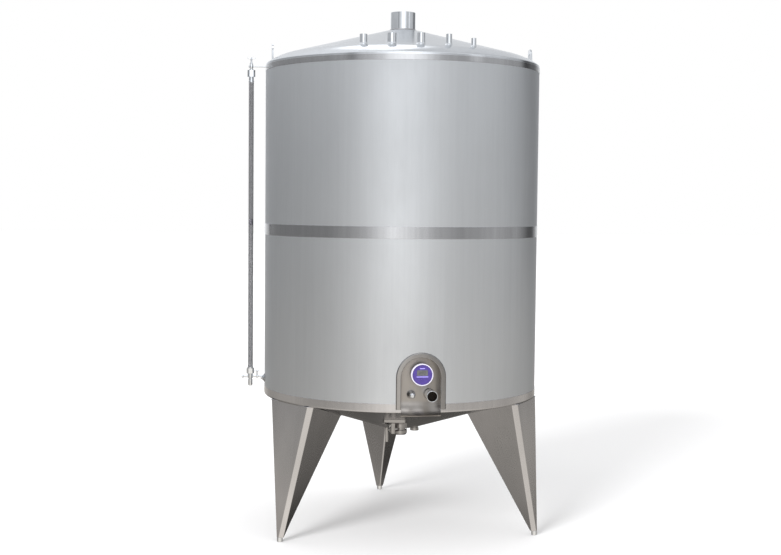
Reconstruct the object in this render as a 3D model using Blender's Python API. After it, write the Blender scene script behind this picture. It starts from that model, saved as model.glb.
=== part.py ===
# Vertical storage tank: insulated round shell on three folded legs, with a
# thermometer niche, a level gauge and a drain valve under the bottom.
# Metres, +Z up. Azimuth 0 is +X, 270 is the front (-Y).
import bpy
import bmesh
import math
from mathutils import Matrix, Vector

# Shell, heights above the floor.
R_SHELL = 0.700
R_INNER = 0.640
Z_RIM_LOW = 0.684
Z_SPLIT = 1.523
Z_RIM_TOP = 2.349
STEPS = 96
GAP = 0.0003
SKIN = 0.0012
BAND_LOW = 1.495
BAND_TOP = 1.551
TOP_RING_HIGH = 0.027
BOTTOM_RING_HIGH = 0.034
WALL_QUARTERS = (("front", 225.0), ("right", 315.0), ("back", 45.0), ("left", 135.0))

# Roof and bottom, both cones with their outer surface stated as a line. The
# roof's line turns down over a knuckle, and the bottom's flattens under the wall.
ROOF_SLOPE = 0.26
ROOF_Z_AT_RIM = 2.380
R_KNUCKLE = 0.604
KNUCKLE_RADIUS = 0.28
CONE_SLOPE = 0.321
CONE_Z_AT_AXIS = 0.470
R_SUMP = 0.100
Z_SUMP = CONE_Z_AT_AXIS + CONE_SLOPE * R_SUMP
PLATE = 0.012
SEAT = 0.0008

# Neck, roof nozzles and lugs.
R_NECK = 0.0635
R_NECK_BORE = 0.0605
Z_NECK_TOP = 2.634
NECK_BELOW_ROOF = 0.050
R_NOZZLE_CIRCLE = 0.580
NOZZLE_PITCH = 13.6
NOZZLES = ((0.018, 0.044), (0.0215, 0.047), (0.019, 0.049), (0.014, 0.049), (0.012, 0.039))
NOZZLE_FLARE = 0.006
NOZZLE_WALL = 0.0025
NOZZLE_FLOOR = 0.016
LUGS = (("left", 178.0, 0.666), ("right", 358.0, 0.665))
LUG_ROUND = 0.036
LUG_HOLE_Z = 0.046
R_LUG_HOLE = 0.014
LUG_THICK = 0.009

# Legs and feet.
LEGS = (("back", 90.0), ("left", 210.0), ("right", 330.0))
LEG_HALF_ANGLE = 14.0
R_LEG_TOP = 0.694
R_LEG_RIDGE = 0.366
R_LEG_FOOT = 0.740
LEG_FOOT_HALF = 0.0140
LEG_FOOT_DEEP = 0.026
Z_LEG_RISE = 0.74
FOLD_TOP = 0.032
FOLD_FOOT = 0.026
RIDGE_FLAT = 0.010
Z_FOOT_TOP = 0.022
R_FOOT = 0.014
FOOT_INSET = 0.002

# Niche at the front, with its lining frame and the apron that drains it.
NICHE_HALF = 0.1185
NICHE_INNER = 0.095
NICHE_SILL = 0.695
Z_ARCH = 0.8455
R_NICHE_BACK = 0.654
R_NICHE_FACE = 0.703
APRON_THICK = 0.003
Z_APRON_TOP = 0.735
APRON_RADIUS = 0.0742
APRON_TURN = 66.4

# Thermometer, outlet and sample stub.
X_DIAL = 0.003
Z_DIAL = 0.861
R_DIAL = 0.052
DIAL_START = 0.620
DIAL_DEEP = 0.092
DIAL_RECESS = 0.006
DIAL_RIM = 0.004
Z_OUTLET = 0.765
X_OUTLET = 0.0436
R_OUTLET = 0.0265
R_OUTLET_BORE = 0.0235
OUTLET_END = 0.752
X_STUB = -0.041
Z_STUB = 0.762
R_STUB = 0.013
R_STUB_BOSS = 0.022
STUB_END = 0.708

# Level gauge on the left.
X_GAUGE = -0.7735
R_TUBE = 0.0132
R_TUBE_BORE = 0.0105
Z_TUBE_LOW = 0.815
Z_TUBE_TOP = 2.262
Z_FLOAT = 1.541
Z_GAUGE_BAR = 0.767
Z_GAUGE_TOP = 2.343
X_BAR_END = -0.818
R_NUT = 0.0195
X_LOWER_HANDLE = -0.739
Z_UPPER_STEM = 2.3583
Z_LOWER_STEM = 0.7735

# Drain valve on the front slope of the bottom, with its bracket and lever.
X_VALVE = -0.034
Y_VALVE = -0.275
R_VALVE = 0.034
R_WAIST = 0.026
Z_VALVE_LOW = 0.505
Z_WAIST_LOW = 0.529
Z_WAIST_TOP = 0.5415
R_VALVE_BORE = 0.020
Z_STEM = 0.533
Y_STEM = -0.285
R_HUB = 0.010
X_BRACKET_RIGHT = -0.0700
X_BRACKET_LEFT = -0.0898
Z_BRACKET_LOW = 0.519
X_HUB = -0.0905
X_LEVER_RIGHT = -0.0960
X_LEVER_LEFT = -0.1115
LEVER_HALF = 0.009
LEVER_REACH = 0.0575
PAD_CENTRE = -0.0785
PAD_HALF = 0.0495
R_PAD_IN = 0.335
R_PAD_OUT = 0.392
PAD_THICK = 0.014
X_SMALL = 0.080
Y_SMALL = -0.012
R_SMALL = 0.0225
Z_SMALL_LOW = 0.477

# The origin is the middle of the bounding box at floor level.
AXIS_X = (abs(X_BAR_END) - (R_SHELL + GAP + SKIN)) / 2.0

for old in list(bpy.data.objects):
    bpy.data.objects.remove(old, do_unlink=True)

parts = bpy.data.collections.new("vertical_storage_tank")
bpy.context.scene.collection.children.link(parts)
cutters = bpy.data.collections.new("cutters")
bpy.context.scene.collection.children.link(cutters)


def material(name, color, metallic, roughness):
    mat = bpy.data.materials.new(name)
    mat.use_nodes = True
    node = mat.node_tree.nodes["Principled BSDF"]
    node.inputs["Base Color"].default_value = (color[0], color[1], color[2], 1.0)
    node.inputs["Metallic"].default_value = metallic
    node.inputs["Roughness"].default_value = roughness
    return mat


SATIN = material("satin_steel", (0.62, 0.62, 0.61), 1.0, 0.35)
POLISHED = material("polished_steel", (0.55, 0.55, 0.56), 1.0, 0.12)
GLASS = material("gauge_glass", (0.80, 0.84, 0.86), 0.0, 0.05)
WHITE = material("white_plastic", (0.80, 0.80, 0.80), 0.0, 0.4)
VIOLET = material("violet_plastic", (0.10, 0.06, 0.35), 0.0, 0.4)


def rad(degrees):
    return math.radians(degrees)


def polar(radius, azimuth, z):
    return Vector((radius * math.cos(rad(azimuth)), radius * math.sin(rad(azimuth)), z))


def cone_z(radius):
    return CONE_Z_AT_AXIS + CONE_SLOPE * radius


def under_z(radius):
    """Underside of the bottom, which is flatter under the wall."""
    if radius <= R_INNER:
        return cone_z(radius)
    edge_slope = (Z_RIM_LOW - cone_z(R_INNER)) / (R_SHELL - R_INNER)
    return cone_z(R_INNER) + edge_slope * (radius - R_INNER)


def roof_line(radius):
    return ROOF_Z_AT_RIM + ROOF_SLOPE * (R_SHELL - radius)


def roof_z(radius):
    """Top of the roof: a straight slope, then the arc of its knuckle."""
    if radius <= R_KNUCKLE:
        return roof_line(radius)
    tilt = math.atan(ROOF_SLOPE)
    middle_r = R_KNUCKLE - KNUCKLE_RADIUS * math.sin(tilt)
    middle_z = roof_line(R_KNUCKLE) - KNUCKLE_RADIUS * math.cos(tilt)
    return middle_z + math.sqrt(KNUCKLE_RADIUS ** 2 - (radius - middle_r) ** 2)


def knuckle_points(outer, steps, lift=0.0):
    """Profile points from an outer radius in to the start of the knuckle."""
    points = []
    for i in range(steps + 1):
        radius = outer + (R_KNUCKLE - outer) * i / steps
        points.append((radius, roof_z(radius) + lift))
    return points


def finish_mesh(name, bm, mat, group, smooth):
    bmesh.ops.recalc_face_normals(bm, faces=bm.faces)
    mesh = bpy.data.meshes.new(name)
    bm.to_mesh(mesh)
    bm.free()
    mesh.materials.append(mat)
    for poly in mesh.polygons:
        poly.use_smooth = smooth
    ob = bpy.data.objects.new(name, mesh)
    group.objects.link(ob)
    if group is cutters:
        ob.hide_render = True
        ob.display_type = "WIRE"
    return ob


def turned(name, profile, mat=SATIN, start=0.0, sweep=360.0, steps=STEPS, group=parts):
    """Turn a closed profile of (radius, z) points about the axis."""
    bm = bmesh.new()
    whole = sweep >= 360.0
    count = max(3, round(steps * sweep / 360.0))
    columns = count if whole else count + 1
    grid = []
    poles = {}
    for i in range(columns):
        azimuth = start + sweep * i / count
        column = []
        for k, (radius, z) in enumerate(profile):
            if radius == 0.0:
                if k not in poles:
                    poles[k] = bm.verts.new((0.0, 0.0, z))
                column.append(poles[k])
            else:
                column.append(bm.verts.new(polar(radius, azimuth, z)))
        grid.append(column)
    size = len(profile)
    for i in range(count):
        near = grid[i]
        far = grid[(i + 1) % columns]
        for k in range(size):
            corner = [near[k], far[k], far[(k + 1) % size], near[(k + 1) % size]]
            loop = []
            for vert in corner:
                if vert not in loop:
                    loop.append(vert)
            if len(loop) >= 3:
                bm.faces.new(loop)
    if not whole:
        bm.faces.new(grid[0])
        bm.faces.new(grid[-1])
    return finish_mesh(name, bm, mat, group, True)


def along(ob, start, direction):
    """Stand a piece that was turned about +Z on another line."""
    turn = Vector((0, 0, 1)).rotation_difference(Vector(direction).normalized())
    ob.matrix_world = Matrix.Translation(start) @ turn.to_matrix().to_4x4()
    return ob


def prism(name, outline, low, high, mat=SATIN, group=parts):
    """Raise an outline of (x, z) points along y from low to high."""
    bm = bmesh.new()
    front = []
    back = []
    for x, z in outline:
        front.append(bm.verts.new((x, low, z)))
        back.append(bm.verts.new((x, high, z)))
    count = len(outline)
    for i in range(count):
        j = (i + 1) % count
        bm.faces.new((front[i], front[j], back[j], back[i]))
    bm.faces.new(front)
    bm.faces.new(back)
    return finish_mesh(name, bm, mat, group, False)


def block(name, low, high, mat=SATIN, group=parts):
    outline = [(low[0], low[2]), (high[0], low[2]), (high[0], high[2]), (low[0], high[2])]
    return prism(name, outline, low[1], high[1], mat, group)


def cylinder(name, start, direction, radius, length, mat=SATIN, steps=24, bore=0.0, group=parts):
    profile = [(bore, 0.0), (radius, 0.0), (radius, length), (bore, length)]
    ob = turned(name, profile, mat, steps=steps, group=group)
    return along(ob, start, direction)


def applied(ob):
    bpy.context.view_layer.update()
    graph = bpy.context.evaluated_depsgraph_get()
    mesh = bpy.data.meshes.new_from_object(ob.evaluated_get(graph))
    ob.modifiers.clear()
    ob.data = mesh
    bm = bmesh.new()
    bm.from_mesh(mesh)
    bmesh.ops.remove_doubles(bm, verts=bm.verts, dist=0.00002)
    bm.to_mesh(mesh)
    bm.free()
    return ob


def shaped(ob, other, operation="DIFFERENCE"):
    """Cut, join or intersect one piece with another at once."""
    mod = ob.modifiers.new("shape", "BOOLEAN")
    mod.operation = operation
    mod.solver = "EXACT"
    mod.object = other
    return applied(ob)


def joined(name, first, others):
    """Fuse overlapping pieces into one closed body."""
    for other in others:
        shaped(first, other, "UNION")
        bpy.data.objects.remove(other, do_unlink=True)
    first.name = name
    return first


def round_cutter(name, radius, low=0.3, high=3.0):
    """Everything within a radius of the tank's axis."""
    return turned(name, [(0.0, low), (radius, low), (radius, high), (0.0, high)], group=cutters)


def arch(half, sill):
    """Outline of the niche, its straight sides standing on a sill."""
    outline = [(-half, sill), (half, sill)]
    for i in range(17):
        angle = math.pi * i / 16.0
        outline.append((half * math.cos(angle), Z_ARCH + half * math.sin(angle)))
    return outline


# Shell walls, four to a course. Their lower edge carries on from the bottom.
walls = {}
wall_sweep = 90.0 - math.degrees(GAP / R_SHELL)
for side, start in WALL_QUARTERS:
    upper = [
        (R_INNER, Z_SPLIT + GAP),
        (R_SHELL, Z_SPLIT + GAP),
        (R_SHELL, Z_RIM_TOP - GAP),
        (R_INNER, Z_RIM_TOP - GAP),
    ]
    turned("upper_wall_" + side, upper, SATIN, start, wall_sweep)
    lower = [
        (R_INNER, cone_z(R_INNER)),
        (R_SHELL, Z_RIM_LOW),
        (R_SHELL, Z_SPLIT),
        (R_INNER, Z_SPLIT),
    ]
    walls[side] = turned("lower_wall_" + side, lower, SATIN, start, wall_sweep)

# Polished skins round the shell.
skin_in = R_SHELL + GAP
skin_out = R_SHELL + GAP + SKIN
rings = {}
for name, low, high in (
    ("middle_band", BAND_LOW, BAND_TOP),
    ("top_ring", Z_RIM_TOP - TOP_RING_HIGH, Z_RIM_TOP - 0.001),
    ("bottom_ring", Z_RIM_LOW + 0.001, Z_RIM_LOW + BOTTOM_RING_HIGH),
):
    profile = [(skin_in, low), (skin_out, low), (skin_out, high), (skin_in, high)]
    rings[name] = turned(name, profile, POLISHED)

# Niche: cut out of the front wall down to its back, open at the foot. Below the
# sill it is only as wide as the lining leaves free, so the rim carries the lining.
niche_low = Z_RIM_LOW - 0.1
behind_niche = round_cutter("behind_niche", R_NICHE_BACK)
foot_outline = [(-NICHE_INNER, NICHE_SILL - GAP), (-NICHE_INNER, niche_low),
                (NICHE_INNER, niche_low), (NICHE_INNER, NICHE_SILL - GAP)]
pocket = prism("niche_pocket", foot_outline + arch(NICHE_HALF + GAP, NICHE_SILL - GAP)[1:]
               + [(-NICHE_HALF - GAP, NICHE_SILL - GAP)], -0.80, -0.50, group=cutters)
shaped(pocket, behind_niche)
shaped(walls["front"], pocket)
shaped(rings["bottom_ring"], pocket)

# The niche's lining: an arch that stands on the sill, between its back and face.
lining = turned("niche_lining", [(R_NICHE_BACK + GAP, NICHE_SILL), (R_NICHE_FACE, NICHE_SILL),
                                 (R_NICHE_FACE, 1.1), (R_NICHE_BACK + GAP, 1.1)], group=cutters)
hollow = prism("niche_hollow", arch(NICHE_INNER, niche_low), -0.82, -0.48, group=cutters)
frame = prism("niche_frame", arch(NICHE_HALF, NICHE_SILL), -0.80, -0.50)
shaped(frame, hollow)
shaped(frame, lining, "INTERSECT")

# The apron: a sheet that leaves the niche's back and curls out below the rim.
face_side = []
back_side = []
for i in range(9):
    angle = rad(APRON_TURN) * i / 8.0
    for side, radius in ((face_side, APRON_RADIUS), (back_side, APRON_RADIUS + APRON_THICK)):
        side.append((R_NICHE_BACK + GAP + APRON_THICK + APRON_RADIUS - radius * math.cos(angle),
                     Z_APRON_TOP - radius * math.sin(angle)))
apron = turned("niche_apron", face_side + back_side[::-1], SATIN, 255.0, 30.0, steps=2 * STEPS)
apron_side = NICHE_INNER - GAP
shaped(apron, block("apron_width", (-apron_side, -0.8, 0.5), (apron_side, -0.5, 0.9),
                    group=cutters), "INTERSECT")

# Roof with its knuckle, and the neck pipe through it.
roof_hole = R_NECK + GAP
turned("roof", [(R_SHELL, Z_RIM_TOP)] + knuckle_points(R_SHELL, 6) + [
    (roof_hole, roof_z(roof_hole)),
    (roof_hole, roof_z(roof_hole) - PLATE),
    (R_INNER, Z_RIM_TOP + 0.010),
    (R_INNER, Z_RIM_TOP),
])
neck_low = roof_z(0.0) - NECK_BELOW_ROOF
cylinder("neck_pipe", (0, 0, neck_low), (0, 0, 1), R_NECK, Z_NECK_TOP - neck_low,
         steps=48, bore=R_NECK_BORE)

# Five nozzles on the roof, each with a flared foot that follows the slope.
roof_cut = turned("roof_cut", [(0.0, 2.2), (0.76, 2.2)] + knuckle_points(0.76, 12, GAP)
                  + [(0.0, roof_z(0.0) + GAP)], group=cutters)
for i, (radius, height) in enumerate(NOZZLES):
    azimuth = 270.0 + NOZZLE_PITCH * (i - 2)
    flare = radius + NOZZLE_FLARE
    bore = radius - NOZZLE_WALL
    nozzle = turned("roof_nozzle_%d" % (i + 1), [
        (0.0, -0.02),
        (flare + 0.004, -0.02),
        (flare, 0.004),
        (radius, 0.012),
        (radius, height),
        (bore, height),
        (bore, NOZZLE_FLOOR),
        (0.0, NOZZLE_FLOOR),
    ], steps=24)
    nozzle.location = polar(R_NOZZLE_CIRCLE, azimuth, roof_z(R_NOZZLE_CIRCLE))
    shaped(nozzle, roof_cut)

# Two lifting lugs, flat plates across the radius with a hole.
for side, azimuth, radius in LUGS:
    outline = [(-LUG_ROUND - 0.006, -0.03), (LUG_ROUND + 0.006, -0.03)]
    for i in range(13):
        angle = math.pi * i / 12.0
        outline.append((LUG_ROUND * math.cos(angle), LUG_HOLE_Z + LUG_ROUND * math.sin(angle)))
    lug = prism("lifting_lug_" + side, outline, -LUG_THICK / 2.0, LUG_THICK / 2.0)
    hole = cylinder("lug_hole_" + side, (0, 0.02, LUG_HOLE_Z), (0, -1, 0), R_LUG_HOLE, 0.04,
                    group=cutters)
    shaped(lug, hole)
    lug.matrix_world = (Matrix.Translation(polar(radius, azimuth, roof_z(radius)))
                        @ Matrix.Rotation(rad(azimuth + 90.0), 4, "Z"))
    shaped(lug, roof_cut)

# Bottom cone with a flat centre, inside the walls' lower edge.
r_bottom = R_INNER - GAP
turned("bottom_cone", [
    (r_bottom, cone_z(r_bottom)),
    (R_SUMP, Z_SUMP),
    (0.0, Z_SUMP),
    (0.0, Z_SUMP + PLATE),
    (R_SUMP, Z_SUMP + PLATE),
    (r_bottom, cone_z(r_bottom) + PLATE),
])

# Legs: three-sided, from the rim and a ridge under the bottom to a foot. The two
# outer corners are folded to a flat that faces out, and the ridge is blunt.
above_bottom = turned("above_bottom", [(0.0, 1.0), (0.0, Z_SUMP - SEAT), (R_SUMP, Z_SUMP - SEAT),
                                       (R_INNER, cone_z(R_INNER) - SEAT),
                                       (0.80, under_z(0.80) - SEAT), (0.80, 1.0)], group=cutters)


def leg_section(corners, fold):
    """Six points from two outer corners and a ridge."""
    points = []
    for i in range(3):
        corner = corners[i]
        before = (corners[i - 1] - corner).normalized()
        after = (corners[(i + 1) % 3] - corner).normalized()
        if i == 2:
            cut = RIDGE_FLAT / (after - before).length
            points += [corner + before * cut, corner + after * cut]
        else:
            across = (after - before).normalized() * (fold / 2.0)
            points += [corner - across, corner + across]
    return points


for side, azimuth in LEGS:
    upper = [
        polar(R_LEG_TOP, -LEG_HALF_ANGLE, cone_z(R_LEG_TOP)),
        polar(R_LEG_TOP, LEG_HALF_ANGLE, cone_z(R_LEG_TOP)),
        Vector((R_LEG_RIDGE, 0.0, cone_z(R_LEG_RIDGE))),
    ]
    lower = [
        Vector((R_LEG_FOOT, -LEG_FOOT_HALF, Z_FOOT_TOP)),
        Vector((R_LEG_FOOT, LEG_FOOT_HALF, Z_FOOT_TOP)),
        Vector((R_LEG_FOOT - LEG_FOOT_DEEP, 0.0, Z_FOOT_TOP)),
    ]
    risen = []
    for spot, target in zip(lower, upper):
        share = (Z_LEG_RISE - Z_FOOT_TOP) / (target.z - Z_FOOT_TOP)
        risen.append(spot + (target - spot) * share)
    bm = bmesh.new()
    ring_low = [bm.verts.new(spot) for spot in leg_section(lower, FOLD_FOOT)]
    ring_top = [bm.verts.new(spot) for spot in leg_section(risen, FOLD_TOP)]
    for i in range(6):
        j = (i + 1) % 6
        bm.faces.new((ring_low[i], ring_low[j], ring_top[j], ring_top[i]))
    bm.faces.new(ring_low)
    bm.faces.new(ring_top)
    leg = finish_mesh("leg_" + side, bm, SATIN, parts, False)
    leg.matrix_world = Matrix.Rotation(rad(azimuth), 4, "Z")
    shaped(leg, above_bottom)
    cylinder("foot_" + side, polar(R_LEG_FOOT - FOOT_INSET, azimuth, 0.0), (0, 0, 1), R_FOOT,
             Z_FOOT_TOP - GAP, steps=16)

# Outlet pipe, sample stub and thermometer, all from the niche's back.
to_niche_back = round_cutter("to_niche_back", R_NICHE_BACK + GAP)
inside_wall = 0.60
outlet = cylinder("outlet_pipe", (X_OUTLET, -inside_wall, Z_OUTLET), (0, -1, 0), R_OUTLET,
                  OUTLET_END - inside_wall, bore=R_OUTLET_BORE)
shaped(outlet, to_niche_back)
stub_long = STUB_END - inside_wall
stub = turned("sample_stub", [(0.0, 0.0), (R_STUB_BOSS, 0.0), (R_STUB_BOSS, 0.050),
                              (R_STUB, stub_long - 0.022), (R_STUB, stub_long - 0.010),
                              (R_STUB - 0.004, stub_long), (0.0, stub_long)], steps=24)
along(stub, (X_STUB, -inside_wall, Z_STUB), (0, -1, 0))
shaped(stub, to_niche_back)
dial_floor = DIAL_DEEP - DIAL_RECESS
case = turned("thermometer_case", [
    (0.0, 0.0),
    (0.008, 0.0),
    (0.008, 0.055),
    (R_DIAL, 0.060),
    (R_DIAL, DIAL_DEEP),
    (R_DIAL - DIAL_RIM, DIAL_DEEP),
    (R_DIAL - DIAL_RIM, dial_floor),
    (0.0, dial_floor),
], WHITE, steps=32)
along(case, (X_DIAL, -DIAL_START, Z_DIAL), (0, -1, 0))
shaped(case, to_niche_back)
cylinder("thermometer_face", (X_DIAL, -DIAL_START - dial_floor - GAP, Z_DIAL), (0, -1, 0),
         R_DIAL - DIAL_RIM - 0.0005, 0.003, VIOLET, steps=32)

# Level gauge: lower fitting with its bar, nut, tube with float, upper fitting.
to_shell = round_cutter("to_shell", R_SHELL + GAP)
boss = turned("boss", [(0.0, 0.0), (0.033, 0.0), (0.016, 0.020), (0.0, 0.020)], steps=24)
along(boss, (-R_SHELL + 0.006, 0, 0.756), (-1, 0, 0))
bar = cylinder("bar", (-R_SHELL - 0.010, 0, Z_GAUGE_BAR), (-1, 0, 0), 0.006,
               abs(X_BAR_END) - R_SHELL - 0.010, steps=16)
body = cylinder("body", (X_GAUGE, 0, 0.757), (0, 0, 1), 0.013, 0.024)
cap = cylinder("cap", (X_GAUGE, 0, 0.719), (0, 0, 1), 0.0115, 0.040)
fitting = joined("gauge_lower_fitting", boss, [bar, body, cap])
shaped(fitting, to_shell)
cylinder("gauge_lower_nut", (X_GAUGE, 0, 0.7813), (0, 0, 1), R_NUT, 0.0335, steps=6)
cylinder("gauge_tube", (X_GAUGE, 0, Z_TUBE_LOW + GAP), (0, 0, 1), R_TUBE,
         Z_TUBE_TOP - Z_TUBE_LOW - 2 * GAP, GLASS, steps=24, bore=R_TUBE_BORE)
cylinder("gauge_float", (X_GAUGE, 0, Z_FLOAT), (0, 0, 1), R_TUBE_BORE - 0.0005, 0.030, WHITE,
         steps=24)
nut = cylinder("nut", (X_GAUGE, 0, 2.290), (0, 0, 1), R_NUT, 0.0347, steps=6)
sleeve = cylinder("sleeve", (X_GAUGE, 0, Z_TUBE_TOP), (0, 0, 1), R_TUBE + 0.0005, 0.040)
joined("gauge_upper_nut", nut, [sleeve])
cross = cylinder("cross", (X_GAUGE, 0, 2.325), (0, 0, 1), 0.010, 0.033)
arm = cylinder("arm", (X_GAUGE - 0.014, 0, Z_GAUGE_TOP), (1, 0, 0), 0.0035,
               abs(X_GAUGE) + 0.014 - R_SHELL + 0.02, steps=16)
fitting = joined("gauge_upper_fitting", cross, [arm])
shaped(fitting, round_cutter("to_ring", skin_out + GAP))

# The gauge's two shut-off handles, each a stem with a flat wing.
stem = cylinder("stem", (X_GAUGE, 0, Z_UPPER_STEM), (0, 0, 1), 0.005, 0.020, steps=16)
wing = block("wing", (X_GAUGE - 0.020, -0.003, 2.376), (X_GAUGE + 0.020, 0.003, 2.394))
joined("gauge_upper_handle", stem, [wing])
stem = cylinder("stem", (X_LOWER_HANDLE, 0, Z_LOWER_STEM), (0, 0, 1), 0.004, 0.020, steps=16)
wing = block("wing", (X_LOWER_HANDLE - 0.012, -0.003, 0.790), (X_LOWER_HANDLE + 0.012, 0.003, 0.798))
joined("gauge_lower_handle", stem, [wing])

# Drain valve: two flanges round a waist, with a bore, cut off at the slope.
valve_top = cone_z(abs(Y_VALVE) + 0.05)
valve = turned("drain_valve", [
    (R_VALVE_BORE, Z_VALVE_LOW),
    (R_VALVE, Z_VALVE_LOW),
    (R_VALVE, Z_WAIST_LOW),
    (R_WAIST, Z_WAIST_LOW),
    (R_WAIST, Z_WAIST_TOP),
    (R_VALVE, Z_WAIST_TOP),
    (R_VALVE, valve_top),
    (0.0, valve_top),
    (0.0, Z_WAIST_LOW),
    (R_VALVE_BORE, Z_WAIST_LOW),
], steps=32)
valve.location = (X_VALVE, Y_VALVE, 0.0)
spindle = cylinder("spindle", (X_VALVE - 0.015, Y_STEM, Z_STEM), (-1, 0, 0), R_HUB,
                   X_VALVE - 0.015 - X_BRACKET_RIGHT - GAP)
joined("drain_valve", valve, [spindle])
shaped(valve, above_bottom)

# Its bracket: a pad on the slope and a cheek beside the valve.
pad_seat = cone_z(R_PAD_IN) - SEAT
pad_rise = CONE_SLOPE * (R_PAD_OUT - R_PAD_IN)
pad = turned("pad", [
    (R_PAD_IN, pad_seat - PAD_THICK),
    (R_PAD_OUT, pad_seat + pad_rise - PAD_THICK),
    (R_PAD_OUT, pad_seat + pad_rise),
    (R_PAD_IN, pad_seat),
], SATIN, 225.0, 60.0)
shaped(pad, block("pad_width", (PAD_CENTRE - PAD_HALF, -0.5, 0.4),
                  (PAD_CENTRE + PAD_HALF, -0.2, 0.8), group=cutters), "INTERSECT")
cheek = block("cheek", (X_BRACKET_LEFT, -0.350, Z_BRACKET_LOW), (X_BRACKET_RIGHT, -0.265, 0.62))
bracket = joined("drain_bracket", cheek, [pad])
shaped(bracket, above_bottom)

# Its lever: a hub against the cheek and a grip that hangs down.
hub = cylinder("hub", (X_HUB, Y_STEM, Z_STEM), (-1, 0, 0), R_HUB, X_HUB - X_LEVER_RIGHT + 0.004)
outline = [(LEVER_HALF, LEVER_HALF), (-LEVER_HALF, LEVER_HALF)]
for i in range(9):
    angle = math.pi + math.pi * i / 8.0
    outline.append((LEVER_HALF * math.cos(angle), LEVER_HALF * math.sin(angle) - LEVER_REACH))
grip = prism("grip", outline, 0.0, X_LEVER_RIGHT - X_LEVER_LEFT)
grip.matrix_world = (Matrix.Translation((X_LEVER_RIGHT, Y_STEM, Z_STEM))
                     @ Matrix.Rotation(rad(90), 4, "Z"))
joined("drain_lever", hub, [grip])

# A short blind stub on the flat centre.
small_top = Z_SUMP + PLATE
small = turned("drain_stub", [(0.0, Z_SMALL_LOW), (R_SMALL, Z_SMALL_LOW), (R_SMALL, small_top),
                              (0.0, small_top)], steps=24)
small.location = (X_SMALL, Y_SMALL, 0.0)
shaped(small, above_bottom)

# Cutters go, and everything moves so that the origin is the box's middle.
for ob in list(cutters.objects):
    bpy.data.objects.remove(ob, do_unlink=True)
bpy.context.view_layer.update()
for ob in parts.objects:
    ob.matrix_world = Matrix.Translation((AXIS_X, 0, 0)) @ ob.matrix_world
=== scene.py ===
import math

import bmesh
import bpy
from mathutils import Euler, Matrix, Vector


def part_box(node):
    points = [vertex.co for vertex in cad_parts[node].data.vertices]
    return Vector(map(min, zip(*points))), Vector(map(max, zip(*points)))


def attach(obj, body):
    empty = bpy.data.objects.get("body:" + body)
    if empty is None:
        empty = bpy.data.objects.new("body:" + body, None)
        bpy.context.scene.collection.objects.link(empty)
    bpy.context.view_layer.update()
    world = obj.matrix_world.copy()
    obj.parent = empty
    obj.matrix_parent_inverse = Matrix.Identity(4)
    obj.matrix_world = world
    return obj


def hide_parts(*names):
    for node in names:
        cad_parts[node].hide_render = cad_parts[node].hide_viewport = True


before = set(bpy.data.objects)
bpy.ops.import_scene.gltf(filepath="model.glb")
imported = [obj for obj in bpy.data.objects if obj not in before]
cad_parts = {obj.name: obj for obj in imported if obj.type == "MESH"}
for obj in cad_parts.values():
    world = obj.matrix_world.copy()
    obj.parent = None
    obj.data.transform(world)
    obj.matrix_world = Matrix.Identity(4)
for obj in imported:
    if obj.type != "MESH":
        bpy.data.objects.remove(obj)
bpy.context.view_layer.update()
scene = bpy.context.scene


def middle(node):
    low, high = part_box(node)
    return (low + high) / 2.0


# The pieces are modelled about the tank's own axis, then moved to the row frame.
AXIS_X = middle("neck_pipe").x
TO_ROW = Matrix.Translation((AXIS_X, 0.0, 0.0))


def place_of(node):
    """A node's lowest and highest corners, measured from the tank's axis."""
    low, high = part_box(node)
    return low - Vector((AXIS_X, 0, 0)), high - Vector((AXIS_X, 0, 0))


# Shell.
R_SHELL = 0.700
R_INNER = 0.640
Z_SPLIT = place_of("upper_wall_front")[0].z
Z_RIM_TOP = place_of("upper_wall_front")[1].z
STEPS = 256
GAP = 0.0003
SKIN_IN = R_SHELL + GAP
SKIN_OUT = place_of("middle_band")[1].x

# Roof and bottom, stated as sloping lines. The roof turns down over a knuckle,
# and the bottom is flatter under the wall, where its rim ends in a rolled edge.
ROOF_SLOPE = 0.26
ROOF_Z_AT_RIM = 2.380
R_KNUCKLE = 0.604
KNUCKLE_RADIUS = 0.28
Z_RIM_LOW = 0.679
Z_RING_HIGH = 0.7215
CONE_SLOPE = 0.321
CONE_Z_AT_AXIS = 0.470
R_SUMP = 0.100
Z_SUMP = place_of("bottom_cone")[0].z
PLATE = 0.012
RIM_ROUND = 0.009
BAND_EDGE = 0.0005
R_RING_SKIRT = 0.680
R_ROOF_EDGE = 0.690
ROOF_ROUND = 0.007

# Colours of the metals, before their streaks.
SILVER = (0.640, 0.657, 0.675)
BRIGHT = (0.690, 0.708, 0.730)
SMOKE = (0.50, 0.50, 0.505)
# Warm grey tint of the niche, also darkened as painted shade for its recess.
WARM_SHADE_TONE = (0.37, 0.346, 0.322)
GREY = (0.55, 0.540, 0.545)
DULL = (0.33, 0.322, 0.318)


def rad(degrees):
    return math.radians(degrees)


def polar(radius, azimuth, z):
    return Vector((radius * math.cos(rad(azimuth)), radius * math.sin(rad(azimuth)), z))


def cone_z(radius):
    return CONE_Z_AT_AXIS + CONE_SLOPE * radius


def under_z(radius):
    """Underside of the bottom and of the rim round it."""
    if radius <= R_INNER:
        return cone_z(radius)
    return cone_z(R_INNER) + (Z_RIM_LOW - cone_z(R_INNER)) / (R_SHELL - R_INNER) * (radius - R_INNER)


def roof_line(radius):
    return ROOF_Z_AT_RIM + ROOF_SLOPE * (R_SHELL - radius)


def roof_z(radius):
    """Top of the roof: a straight slope, then the arc of its knuckle."""
    if radius <= R_KNUCKLE:
        return roof_line(radius)
    tilt = math.atan(ROOF_SLOPE)
    middle_r = R_KNUCKLE - KNUCKLE_RADIUS * math.sin(tilt)
    middle_z = roof_line(R_KNUCKLE) - KNUCKLE_RADIUS * math.cos(tilt)
    return middle_z + math.sqrt(KNUCKLE_RADIUS ** 2 - (radius - middle_r) ** 2)


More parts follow.
